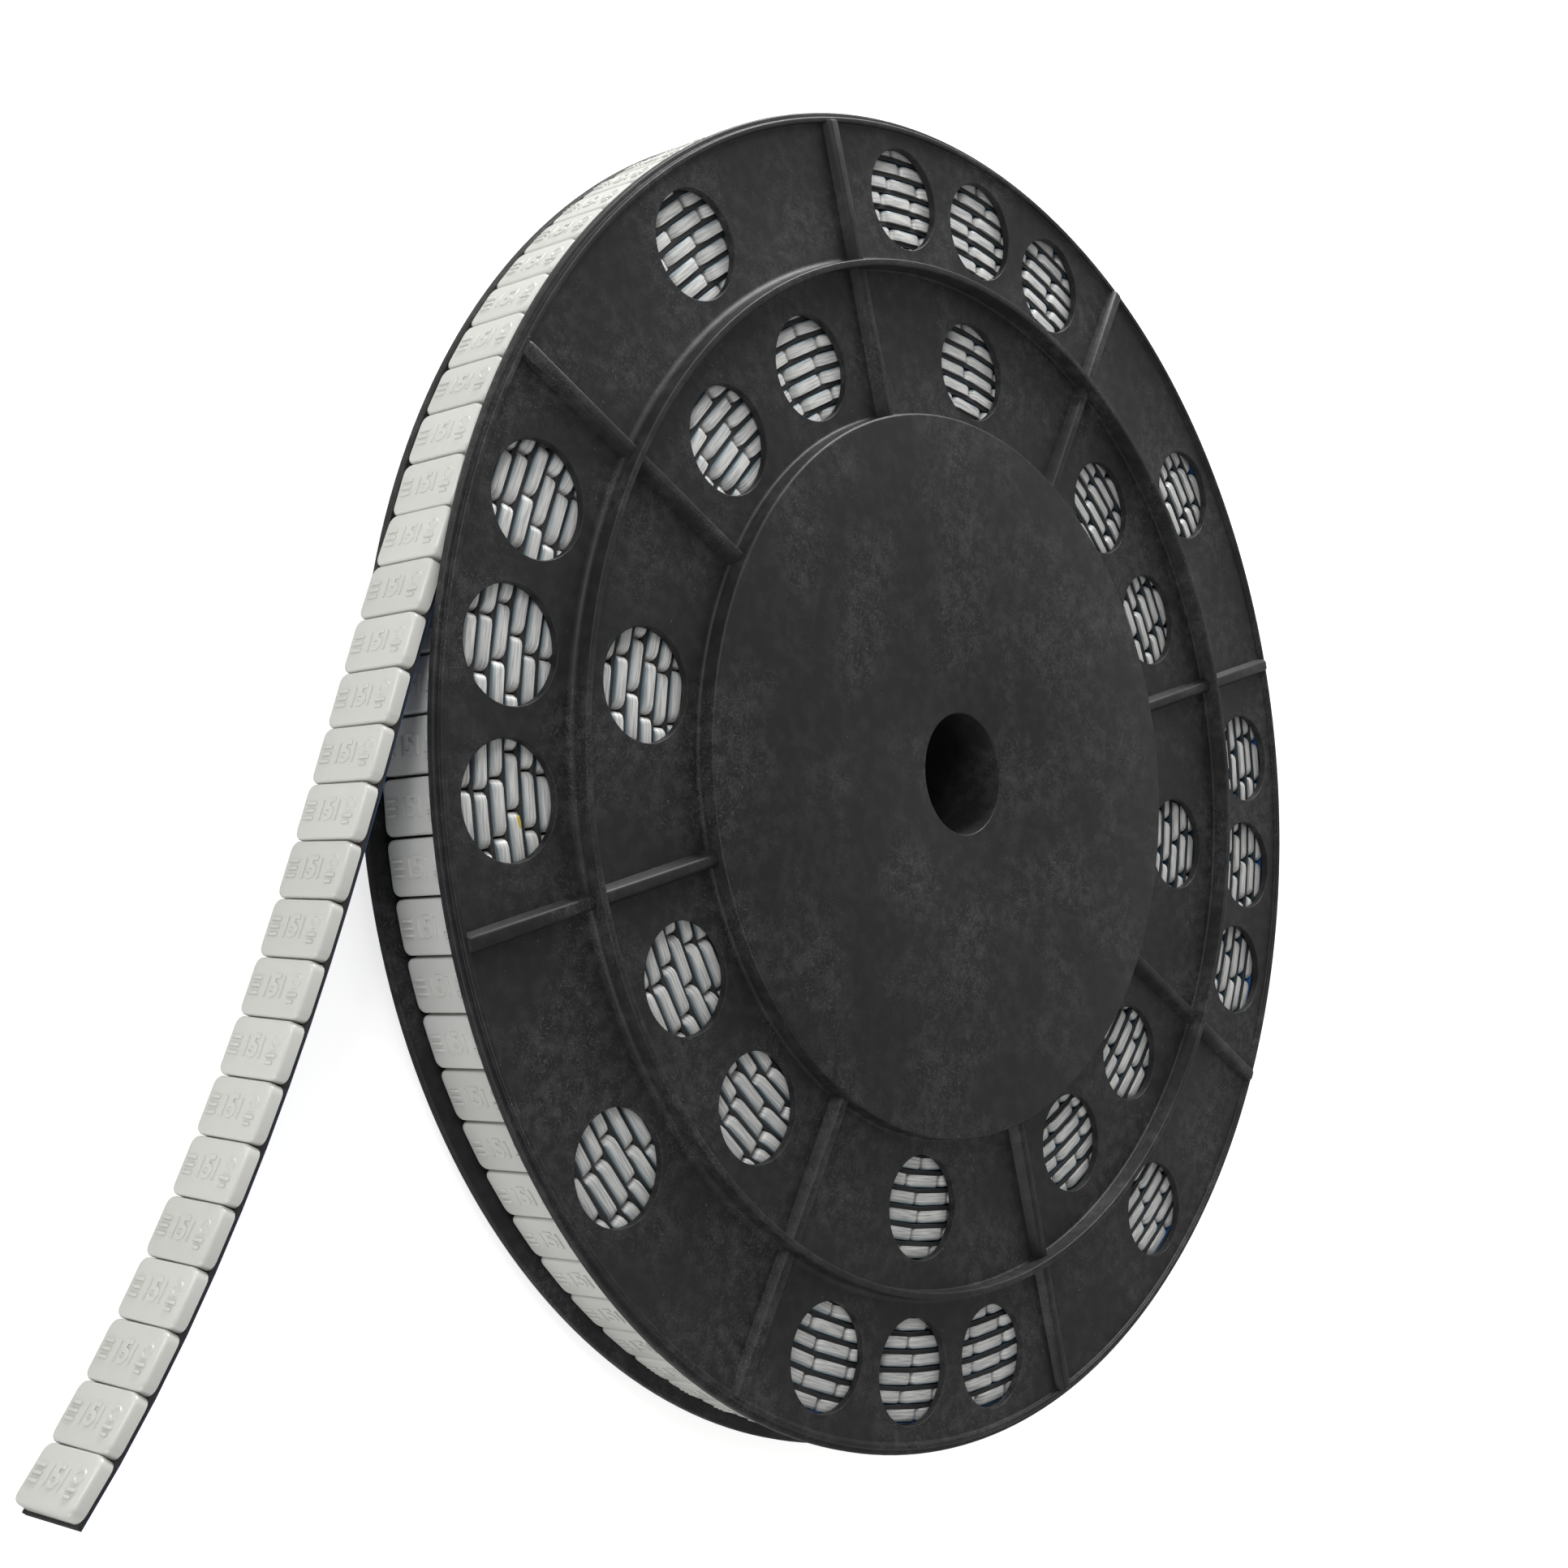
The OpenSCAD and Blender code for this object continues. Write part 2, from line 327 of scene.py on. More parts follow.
@dataclass(frozen=True)
class Winding:
    """The tape's route: a spiral of straight chords, one to a weight, and the free strand."""

    weight_length: float = 11.5
    weight_width: float = 19.0
    weight_height: float = 3.0
    gap: float = 0.3
    foam: float = 1.0
    foam_width: float = 18.0
    liner: float = 0.1
    liner_width: float = 18.0
    slack: float = 0.1
    turns: int = 18
    first_radius: float = 83.1
    peel_angle: float = -8.8
    strand_count: int = 17
    strand_peel: float = 5.1
    turn_start: float = -1.3
    turn_end: float = 3.8
    flange_radius: float = 162.5
    end_lift: float = 0.2
    middle: float = 16.5

    @property
    def pitch(self) -> float:
        """Distance from one weight to the next."""
        return self.weight_length + self.gap

    @property
    def tape(self) -> float:
        """Thickness of foam and liner."""
        return self.foam + self.liner

    @property
    def layer(self) -> float:
        """Thickness of one turn."""
        return self.weight_height + self.tape + self.slack

    def back_radius(self, angle: float) -> float:
        """Radius of the liner's back at an angle in degrees, which falls from turn to turn."""
        peel_radius = self.first_radius + self.turns * self.layer
        return peel_radius - self.layer * (self.peel_angle - angle) / 360

    def joint_angles(self) -> list[float]:
        """Return the angles of the joints between weights, counted inwards from the peel."""
        angles = []
        angle = self.peel_angle
        while angle > self.peel_angle - 360 * self.turns:
            angles.append(angle)
            angle -= 2 * math.degrees(math.asin(self.pitch / 2 / self.back_radius(angle)))
        return angles

    def outer_count(self) -> int:
        """Return how many weights the outer turn has."""
        return sum(angle > self.peel_angle - 360 for angle in self.joint_angles())

    def joints(self) -> list[Vector]:
        """Return the joints' points at mid width."""
        spots = []
        for angle in self.joint_angles():
            radius, turn = self.back_radius(angle), math.radians(angle)
            spots.append(Vector((radius * math.cos(turn), radius * math.sin(turn), self.middle)))
        return spots

    def wound(self) -> list[Place]:
        """Return a place for each wound weight, counted inwards from the peel."""
        spots = self.joints()
        places = []
        for outer, inner in zip(spots, spots[1:]):
            way = outer - inner
            places.append(Place(inner, math.atan2(way.y, way.x)))
        return places

    def strand_places(self, dips: list[float]) -> list[Place]:
        """Return a place for each weight of the free strand, counted from the roll.

        Args:
            dips: How steeply each weight's stretch of tape sinks, in radians.

        Returns:
            The places.
        """
        heading = self.peel_angle + 90 - self.strand_peel
        places = [Place(self.joints()[0], math.radians(heading), dips[0])]
        for i in range(1, self.strand_count):
            part = (i - 1) / self.strand_count
            heading -= self.turn_start + (self.turn_end - self.turn_start) * part
            places.append(Place(places[-1].along(self.pitch), math.radians(heading), dips[i]))
        return places

    def strand(self) -> list[Place]:
        """Return the strand's places: level between the flanges, then sinking to the floor."""
        count = self.strand_count
        flat = self.strand_places([0.0] * count)
        level = sum(place.point.xy.length < self.flange_radius for place in flat)
        swell = [
            0.0 if i < level else math.sin(math.pi * (i - level + 0.5) / (count - level))
            for i in range(count)
        ]
        drop = self.middle - self.weight_width / 2 - self.end_lift
        dip = math.asin(drop / self.pitch / sum(swell))
        return self.strand_places([dip * share for share in swell])


class Side(Enum):
    """Which half of the reel."""

    UPPER = 1
    LOWER = -1


@dataclass
class ReelHalf:
    """One moulded half of the reel, built above the middle plane and put in its place."""

    side: Side
    material: bpy.types.Material
    flange_radius: float = 162.5
    web: float = 2.0
    core_radius: float = 83.0
    wall: float = 3.0
    inner_height: float = 9.8
    bore_radius: float = 15.0
    hub_step: float = 6.0
    hub_height: float = 4.7
    plate: float = 2.2
    joint_length: float = 5.0
    joint_gap: float = 0.15
    ring_inset: float = 36.0
    ring_top: float = 1.6
    ring_fillet: float = 1.5
    rib_hub_height: float = 2.9
    rib_rim_height: float = 2.1
    rib_top: float = 2.0
    rib_draft: float = 1.2
    rib_end: float = 0.8
    rib_count: int = 8
    lip_inset: float = 1.3
    lip_width: float = 1.3
    lip_height: float = 1.1
    hole_radius: float = 12.5
    outer_hole_inset: float = 19.0
    inner_hole_web: float = 3.8
    outer_hole_angle: float = 12.6
    inner_hole_angle: float = 9.9
    hole_edge: float = 0.2
    hole_edge_steps: int = 3
    plate_fillet: float = 0.4
    rim_edge: float = 0.4
    rim_outer_edge: float = 0.45
    lip_outer_foot: float = 0.2
    lip_edge: float = 0.35
    foot_fillet: float = 0.5
    ring_edge: float = 0.3
    hub_foot: float = 0.8
    hub_edge: float = 0.7
    bore_edge: float = 0.3
    rib_edge: float = 0.5
    corner_steps: int = 3
    smooth_angle: float = 32.0
    middle: float = 16.5
    turn_steps: int = 240
    hole_steps: int = 72

    @property
    def web_top(self) -> float:
        """Height of the flange's outer face above the middle plane."""
        return self.inner_height + self.web

    @property
    def top(self) -> float:
        """Height of the hub's face above the middle plane."""
        return self.web_top + self.hub_height

    def outline(self) -> list[tuple[float, float, float]]:
        """Return the half's section as corners with radii."""
        hub = self.core_radius + self.hub_step
        ring = self.flange_radius - self.ring_inset
        lip = self.flange_radius - self.lip_inset
        wall_in = self.core_radius - self.wall
        lip_out = self.core_radius - self.wall / 2
        if self.side is Side.UPPER:
            joint = [(wall_in, -self.joint_length, 0), (lip_out, -self.joint_length, 0), (lip_out, 0, 0)]
        else:
            reach = self.joint_length + self.joint_gap
            gap = lip_out + self.joint_gap
            joint = [(wall_in, reach, 0), (gap, reach, 0), (gap, 0, 0)]
        return [
            (self.bore_radius, 0, 0),
            (self.bore_radius + self.wall, 0, 0),
            (self.bore_radius + self.wall, self.top - self.plate, self.plate_fillet),
            (hub - self.wall, self.top - self.plate, self.plate_fillet),
            (hub - self.wall, self.web_top, 0),
            (wall_in, self.web_top, 0),
            *joint,
            (self.core_radius, 0, 0),
            (self.core_radius, self.inner_height, 0),
            (self.flange_radius, self.inner_height, self.rim_edge),
            (self.flange_radius, self.web_top, self.rim_outer_edge),
            (lip, self.web_top, self.lip_outer_foot),
            (lip, self.web_top + self.lip_height, self.lip_edge),
            (lip - self.lip_width, self.web_top + self.lip_height, self.lip_edge),
            (lip - self.lip_width, self.web_top, self.foot_fillet),
            (ring, self.web_top, self.ring_fillet),
            (ring, self.top, self.ring_edge),
            (ring - self.ring_top, self.top, self.ring_edge),
            (ring - self.ring_top, self.web_top, self.foot_fillet),
            (hub, self.web_top, self.hub_foot),
            (hub, self.top, self.hub_edge),
            (self.bore_radius, self.top, self.bore_edge),
        ]

    def hole_places(self) -> list[Point]:
        """Return each hole's radius and angle: three over one, then one over two, by turns."""
        outer = self.flange_radius - self.outer_hole_inset
        inner = self.core_radius + self.hub_step + self.inner_hole_web + self.hole_radius
        spread, pair = self.outer_hole_angle, self.inner_hole_angle
        group = [(outer, -spread), (outer, 0), (outer, spread), (inner, 0)]
        group += [(outer, 45), (inner, 45 - pair), (inner, 45 + pair)]
        return [(radius, angle + turn) for turn in range(0, 360, 90) for radius, angle in group]

    def hole_cutters(self) -> bpy.types.Object:
        """Make the plugs that cut the holes and round their edges."""
        edge, wide = self.hole_edge, self.hole_radius + self.hole_edge
        low, high = self.inner_height, self.web_top
        turns = [math.pi / 2 * k / self.hole_edge_steps for k in range(1, self.hole_edge_steps + 1)]
        arc = [(edge * math.sin(turn), edge * (1 - math.cos(turn))) for turn in turns]
        path = [(0.0, low - 1), (wide, low - 1), (wide, low)]
        path += [(wide - b, low + a) for a, b in arc]
        path += [(wide - b, high - a) for a, b in reversed(arc)]
        path += [(wide, high), (wide, high + 1), (0.0, high + 1)]
        plug = lathe(path, self.hole_steps)
        places = []
        for radius, angle in self.hole_places():
            turn = Matrix.Rotation(math.radians(angle), 4, "Z")
            places.append(turn @ Matrix.Translation((radius * MM, 0, 0)))
        return copies(plug, places)

    def ribs(self) -> bpy.types.Object:
        """Make the radial ribs, drafted, and sloping from the hub to the lip."""
        start = self.core_radius + self.hub_step - self.wall / 2
        end = self.flange_radius - self.lip_inset - self.lip_width / 2
        sink = self.web / 2
        bpy.ops.object.select_all(action="DESELECT")
        bpy.ops.mesh.primitive_cube_add(
            size=1,
            location=((start + end) / 2 * MM, 0, self.web_top * MM),
            scale=((end - start) * MM, self.rib_top * MM, 2 * sink * MM),
        )
        rib = bpy.context.object
        settle(rib)
        for vertex in rib.data.vertices:
            height = self.rib_hub_height if vertex.co.x < (start + end) / 2 * MM else self.rib_rim_height
            slope = self.rib_draft / self.rib_hub_height
            if vertex.co.z > self.web_top * MM:
                vertex.co.z = (self.web_top + height) * MM
                half = self.rib_top / 2 + slope * (self.rib_hub_height - height)
            else:
                half = self.rib_top / 2 + slope * (self.rib_hub_height + sink)
            vertex.co.y = math.copysign(half * MM, vertex.co.y)
        low = (self.web_top + self.rib_rim_height / 2) * MM
        edit(rib, lambda a, b: min(a.z, b.z) > low and a.y * b.y > 0)
        bpy.ops.mesh.bevel(offset=self.rib_edge * MM, segments=3, affect="EDGES")
        leave()
        edit(rib, lambda a, b: min(a.x, b.x) > (end - 0.1) * MM and min(a.z, b.z) > low)
        bpy.ops.mesh.bevel(offset=self.rib_end * MM, segments=2, affect="EDGES")
        leave()
        turns = [360 * (k + 0.5) / self.rib_count for k in range(self.rib_count)]
        return copies(rib, [Matrix.Rotation(math.radians(turn), 4, "Z") for turn in turns])

    def build(self) -> bpy.types.Object:
        """Build the half in its place.

        Returns:
            The finished piece.
        """
        piece = lathe(rounded_path(self.outline(), self.corner_steps), self.turn_steps)
        combine(piece, self.ribs(), "UNION")
        combine(piece, self.hole_cutters(), "DIFFERENCE")
        if self.side is Side.LOWER:
            piece.scale.z = -1
        piece.location.z = self.middle * MM
        settle(piece)
        face_outwards(piece)
        smooth(piece, self.smooth_angle)
        name = self.side.name.lower()
        finish_piece(piece, f"moulded_half_{name}", self.material, (f"reel_{name}",))
        return piece


@dataclass(frozen=True)
class Bar:
    """A raised bar on a weight: the place of its middle, and its sizes along X and Y."""

    x: float
    y: float
    size_x: float
    size_y: float


NUMBER_BARS = (Bar(0.0, -2.5, 4.0, 0.5), Bar(0.0, 2.5, 4.0, 0.5))
DASHES = tuple(Bar(x, -6.2, 0.6, 3.0) for x in (-1.5, 0.0, 1.5))
RING_DASHES = (Bar(1.3, 6.2, 0.6, 3.0), Bar(2.6, 6.2, 0.6, 2.0))


@dataclass
class Weight:
    """One coated steel weight, with its outer face up and its length along X."""

    length: float = 11.5
    width: float = 19.0
    height: float = 3.0
    corner: float = 2.0
    end_edge: float = 0.5
    side_edge: float = 1.2
    mark_rise: float = 0.42
    mark_sink: float = 0.3
    mark_edge: float = 0.14
    digit: str = "5"
    digit_size: float = 6.2
    digit_swell: float = 0.1
    digit_edge: float = 0.08
    ring_place: Point = (-1.3, 6.2)
    ring_radius: float = 1.25
    ring_wire: float = 0.36
    ring_sink: float = 0.1
    smooth_angle: float = 38.0

    def blank(self, corner_steps: int, edge_steps: int) -> bpy.types.Object:
        """Make the plain weight: round corners, and outer edges that are softer at the tape's sides.

        Args:
            corner_steps: Segments of an upright corner.
            edge_steps: Segments of the outer edge.

        Returns:
            The weight, standing on its foam side.
        """
        bpy.ops.object.select_all(action="DESELECT")
        size = Vector((self.length, self.width, self.height)) * MM
        bpy.ops.mesh.primitive_cube_add(size=1, location=(0, 0, size.z / 2), scale=size)
        piece = bpy.context.object
        settle(piece)
        edit(piece, lambda a, b: abs(a.z - b.z) > MM)
        bpy.ops.mesh.bevel(offset=self.corner * MM, segments=corner_steps, affect="EDGES")
        leave()
        mesh = piece.data
        layer = mesh.attributes.new("bevel_weight_edge", "FLOAT", "EDGE")
        for edge in mesh.edges:
            first, second = (mesh.vertices[i].co for i in edge.vertices)
            if min(first.z, second.z) > size.z - MERGE:
                along = abs((second - first).normalized().x)
                radius = self.end_edge + (self.side_edge - self.end_edge) * along
                layer.data[edge.index].value = radius / self.side_edge
        width = self.side_edge * MM
        apply_modifier(piece, "BEVEL", limit_method="WEIGHT", width=width, segments=edge_steps)
        face_outwards(piece)
        return piece

    def raise_bar(self, bar: Bar) -> bpy.types.Object:
        """Make a raised bar with softened edges, sunk a little into the outer face."""
        bpy.ops.object.select_all(action="DESELECT")
        tall = self.mark_rise + self.mark_sink
        place = Vector((bar.x, bar.y, self.height - self.mark_sink + tall / 2)) * MM
        size = Vector((bar.size_x, bar.size_y, tall)) * MM
        bpy.ops.mesh.primitive_cube_add(size=1, location=place, scale=size)
        piece = bpy.context.object
        settle(piece)
        top = (self.height + self.mark_rise) * MM - MERGE
        edit(piece, lambda a, b: min(a.z, b.z) > top)
        bpy.ops.mesh.bevel(offset=self.mark_edge * MM, segments=2, affect="EDGES")
        leave()
        return piece

    def ring(self) -> bpy.types.Object:
        """Make the raised ring, half sunk into the outer face."""
        bpy.ops.object.select_all(action="DESELECT")
        bpy.ops.mesh.primitive_torus_add(
            location=Vector((*self.ring_place, self.height - self.ring_sink)) * MM,
            major_radius=self.ring_radius * MM,
            minor_radius=self.ring_wire * MM,
            major_segments=18,
            minor_segments=6,
        )
        piece = bpy.context.object
        settle(piece)
        return piece

    def number(self) -> bpy.types.Object:
        """Make the raised number, read along the tape's width with its top towards the roll."""
        bpy.ops.object.select_all(action="DESELECT")
        bpy.ops.object.text_add(
            location=Vector((0.0, 0.0, self.height - self.mark_sink / 2)) * MM,
            rotation=(0, 0, math.pi / 2),
        )
        words = bpy.context.object
        words.data.body = self.digit
        words.data.align_x, words.data.align_y = "CENTER", "CENTER"
        words.data.size = self.digit_size * MM
        words.data.resolution_u = 3
        words.data.offset = self.digit_swell * MM
        words.data.extrude = (self.mark_rise + self.mark_sink) / 2 * MM
        words.data.bevel_depth = self.digit_edge * MM
        words.data.bevel_resolution = 0
        bpy.ops.object.convert(target="MESH")
        settle(words)
        face_outwards(words)
        return words

    def marked(self) -> bpy.types.Object:
        """Make the weight with its plain raised marks: a number and bars, dashes and a ring."""
        parts = [self.blank(4, 4), self.number()]
        parts += [self.raise_bar(bar) for bar in NUMBER_BARS + DASHES]
        parts += [self.ring()]
        parts += [self.raise_bar(bar) for bar in RING_DASHES]
        activate(*parts)
        bpy.ops.object.join()
        smooth(parts[0], self.smooth_angle)
        return parts[0]

    def lean(self) -> bpy.types.Object:
        """Make the plain weight with few faces, for the turns that only show their sides."""
        piece = self.blank(3, 2)
        smooth(piece, self.smooth_angle)
        layer = piece.data.uv_layers.active or piece.data.uv_layers.new()
        layer.name = "side"
        for loop in piece.data.loops:
            spot = piece.data.vertices[loop.vertex_index].co
            layer.data[loop.index].uv = (spot.x / MM, spot.z / MM)
        return piece


def add_tone(piece: bpy.types.Object, value: float) -> None:
    """Give every point of a piece one tone from 0 to 1."""
    layer = piece.data.attributes.new("tone", "FLOAT", "POINT")
    layer.data.foreach_set("value", [value] * len(piece.data.vertices))


@dataclass
class Roll:
    """The roll of weights: the wound turns, the outer turn and the free strand."""

    coated: bpy.types.Material
    wound: bpy.types.Material
    foam: bpy.types.Material
    liner: bpy.types.Material
    weight: Weight = field(default_factory=Weight)
    winding: Winding = field(default_factory=Winding)
    sway: float = 0.25
    draw: random.Random = field(default_factory=lambda: random.Random(48))

    def stamp(self, master: bpy.types.Object, places: list[Place], sway: float) -> bpy.types.Object:
        """Copy a weight to places on the tape, each with its own tone.

        Args:
            master: The weight, which is deleted.
            places: The chords that carry the copies.
            sway: How far a copy may lie off the middle, across the tape, in millimetres.

        Returns:
            The joined copies.
        """
        made = []
        for place in places:
            copy = master.copy()
            copy.data = master.data.copy()
            bpy.context.scene.collection.objects.link(copy)
            shift = Matrix.Translation((0, self.draw.uniform(-sway, sway) * MM, 0))
            copy.matrix_world = place.matrix(self.winding.pitch / 2, self.winding.tape) @ shift
            add_tone(copy, self.draw.random())
            made.append(copy)
        bpy.data.objects.remove(master)
        bpy.context.view_layer.update()
        activate(*made)
        bpy.ops.object.join()
        settle(made[0])
        return made[0]

    def outer_turn(self) -> None:
        """Build the marked weights of the outer turn."""
        places = self.winding.wound()[: self.winding.outer_count()]
        piece = self.stamp(self.weight.marked(), places, 0.0)
        finish_piece(piece, "outer_weights", self.coated, ("outer_turn_weights",))

    def strand(self) -> None:
        """Build the weights of the free strand, each a piece of its own."""
        for i, place in enumerate(self.winding.strand(), start=1):
            piece = self.stamp(self.weight.marked(), [place], 0.0)
            node = f"strand_weight_{i:02d}"
            finish_piece(piece, f"free_weight_{i:02d}", self.coated, (node,))

    def inner_turns(self) -> None:
        """Build the weights, the foam and the liner of the turns under the outer one."""
        places = self.winding.wound()[self.winding.outer_count() :]
        node = ("inner_turns",)
        piece = self.stamp(self.weight.lean(), places, self.sway)
        finish_piece(piece, "wound_weights", self.wound, node)
        flow = self.winding
        foam = self.strip(places, flow.liner, flow.tape, flow.foam_width)
        finish_piece(foam, "wound_foam", self.foam, node)
        film = self.strip(places, 0.0, flow.liner, flow.liner_width)
        finish_piece(film, "wound_liner", self.liner, node)

    def strip(self, places: list[Place], low: float, high: float, width: float) -> bpy.types.Object:
        """Build a closed strip that follows the wound places.

        Args:
            places: The chords, counted inwards.
            low: The strip's back, outwards from the liner's back.
            high: The strip's front, outwards from the liner's back.
            width: The strip's width.

        Returns:
            The strip.
        """
        spots, faces = [], []
        headings = [place.heading for place in places]
        ends = [places[0].along(self.winding.pitch)] + [place.point for place in places]
        for i, end in enumerate(ends):
            before, after = headings[max(i - 1, 0)], headings[min(i, len(headings) - 1)]
            turn = math.atan2(math.sin(before) + math.sin(after), math.cos(before) + math.cos(after))
            out = Vector((math.sin(turn), -math.cos(turn), 0.0))
            for reach, side in ((low, -1), (high, -1), (high, 1), (low, 1)):
                spots.append((end + out * reach + Vector((0, 0, side * width / 2))) * MM)
        for i in range(len(ends) - 1):
            a, b = 4 * i, 4 * i + 4
            faces += [(a + k, a + (k + 1) % 4, b + (k + 1) % 4, b + k) for k in range(4)]
        faces += [(0, 1, 2, 3), tuple(len(spots) - 4 + k for k in (3, 2, 1, 0))]
        mesh = bpy.data.meshes.new("strip")
        mesh.from_pydata(spots, [], faces)
        piece = bpy.data.objects.new("strip", mesh)
        bpy.context.scene.collection.objects.link(piece)
        face_outwards(piece)
        return piece


class Finish:
    """A finish: its material starts with a shader and the object's own coordinates."""

    def start(self, name: str, **inputs: object) -> tuple[bpy.types.Material, bpy.types.Node]:
        """Start a material.

        Args:
            name: The material's name.
            inputs: Values of the shader, with spaces as underscores.

        Returns:
            The material and its shader.
        """
        material = bpy.data.materials.new(name)
        material.use_nodes = True
        shader = material.node_tree.nodes["Principled BSDF"]
        for key, value in inputs.items():
            shader.inputs[key.replace("_", " ").title().replace("Ior", "IOR")].default_value = value
        return material, shader

    def spots(self, tree: bpy.types.NodeTree) -> bpy.types.NodeSocket:
        """Return the object's own coordinates, in metres."""
        return add_node(tree, "ShaderNodeTexCoord").outputs["Object"]

    def noise(
        self, tree: bpy.types.NodeTree, vector: bpy.types.NodeSocket, size: float, detail: float = 2.0
    ) -> bpy.types.NodeSocket:
        """Add a noise.

        Args:
            tree: The node tree.
            vector: Coordinates in metres.
            size: The size of the noise's spots in millimetres.
            detail: How many finer layers it has.

        Returns:
            Its value, about 0.3 to 0.7.
        """
        inputs = {"Vector": vector, "Scale": 1 / (size * MM), "Detail": detail}
        return add_node(tree, "ShaderNodeTexNoise", inputs).outputs[0]

    def ramp(
        self, tree: bpy.types.NodeTree, value: bpy.types.NodeSocket, low: float, high: float
    ) -> bpy.types.NodeSocket:
        """Turn the range from low to high into 0 to 1, clamped."""
        inputs = {"Value": value, "From Min": low, "From Max": high}
        return add_node(tree, "ShaderNodeMapRange", inputs).outputs[0]

    def mix(
        self,
        tree: bpy.types.NodeTree,
        share: bpy.types.NodeSocket,
        first: bpy.types.NodeSocket | str,
        second: bpy.types.NodeSocket | str,
    ) -> bpy.types.NodeSocket:
        """Mix two colours, each a socket or a hex code, by a share from 0 to 1."""
        node = add_node(tree, "ShaderNodeMix", {"Factor": share}, data_type="RGBA")
        for key, colour in (("A", first), ("B", second)):
            socket = next(s for s in node.inputs if s.name == key and s.type == "RGBA")
            if isinstance(colour, str):
                socket.default_value = srgb(colour)
            else:
                tree.links.new(colour, socket)
        return next(s for s in node.outputs if s.type == "RGBA")

    def product(
        self, tree: bpy.types.NodeTree, first: bpy.types.NodeSocket, second: bpy.types.NodeSocket | float
    ) -> bpy.types.NodeSocket:
        """Multiply a value by another one or by a number."""
        return add_node(tree, "ShaderNodeMath", {0: first, 1: second}, operation="MULTIPLY").outputs[0]


@dataclass(frozen=True)
class MouldedStyrene(Finish):
    """Black moulded polystyrene, rubbed in the stack: smooth in places, else cloudy with pale hairs."""

    body: str = "#1e1e1f"
    cloud: str = "#353537"
    hair: str = "#545456"
    speck: str = "#545453"
    roughness: float = 0.48
    specular_level: float = 0.27
    ior: float = 1.5
    cloud_size: float = 3.5
    cloud_range: Point = (0.42, 0.7)
    hair_length: float = 2.0
    hair_width: float = 0.28
    hair_turns: tuple[float, ...] = (12.0, 48.0, 83.0, 118.0, 156.0)
    hair_step: float = 300.0
    hair_lift: float = 100.0
    hair_range: Point = (0.64, 0.75)
    hair_share: float = 0.65
    speck_size: float = 0.8
    speck_range: Point = (0.86, 0.9)
    worn_size: float = 24.0
    worn_range: Point = (0.38, 0.62)
    calm_share: float = 0.35

    def material(self) -> bpy.types.Material:
        """Build the material."""
        material, shader = self.start(
            "moulded_black_styrene",
            roughness=self.roughness,
            ior=self.ior,
            specular_ior_level=self.specular_level,
        )
        tree = material.node_tree
        spots = self.spots(tree)
        worn = self.ramp(tree, self.noise(tree, spots, self.worn_size, 1.0), *self.worn_range)
        clouds = self.ramp(tree, self.noise(tree, spots, self.cloud_size, 3.0), *self.cloud_range)
        calm = self.mix(tree, self.product(tree, clouds, self.calm_share), self.body, self.cloud)
        colour = self.mix(tree, clouds, self.body, self.cloud)
        colour = self.mix(tree, worn, calm, colour)
        for i, turn in enumerate(self.hair_turns):
            mapped = add_node(
                tree,
                "ShaderNodeMapping",
                {
                    "Vector": spots,
                    "Location": (i * self.hair_step * MM, self.hair_lift * MM, 0.0),
                    "Rotation": (0.0, 0.0, math.radians(turn)),
                    "Scale": (self.hair_length / self.hair_width, 1.0, 1.0),
                },
                vector_type="TEXTURE",
            )
            hairs = self.noise(tree, mapped.outputs[0], self.hair_width, 1.0)
            share = self.product(tree, worn, self.ramp(tree, hairs, *self.hair_range))
            colour = self.mix(tree, self.product(tree, share, self.hair_share), colour, self.hair)
        specks = self.ramp(tree, self.noise(tree, spots, self.speck_size, 0.0), *self.speck_range)
        colour = self.mix(tree, specks, colour, self.speck)
        tree.links.new(colour, shader.inputs["Base Color"])
        return material


@dataclass(frozen=True)
class CoatedSteel(Finish):
    """Pale grey coated steel: an even, slightly pebbled paint that shines softly along the edges."""

    body: str = "#d0d0cb"
    shade: str = "#c5c5c0"
    roughness: float = 0.3
    ior: float = 1.5
    pebble_size: float = 0.7
    pebble_share: float = 0.25
    pebble_rise: float = 0.1

    def material(self) -> bpy.types.Material:
        """Build the material."""
        material, shader = self.start("grey_coated_steel", roughness=self.roughness, ior=self.ior)
        tree = material.node_tree
        tone = add_node(tree, "ShaderNodeAttribute", attribute_name="tone").outputs["Fac"]
        colour = self.mix(tree, tone, self.body, self.shade)
        tree.links.new(colour, shader.inputs["Base Color"])
        pebbles = self.noise(tree, self.spots(tree), self.pebble_size, 2.0)
        inputs = {"Height": pebbles, "Strength": self.pebble_share, "Distance": self.pebble_rise * MM}
        bump = add_node(tree, "ShaderNodeBump", inputs)
        tree.links.new(bump.outputs[0], shader.inputs["Normal"])
        return material


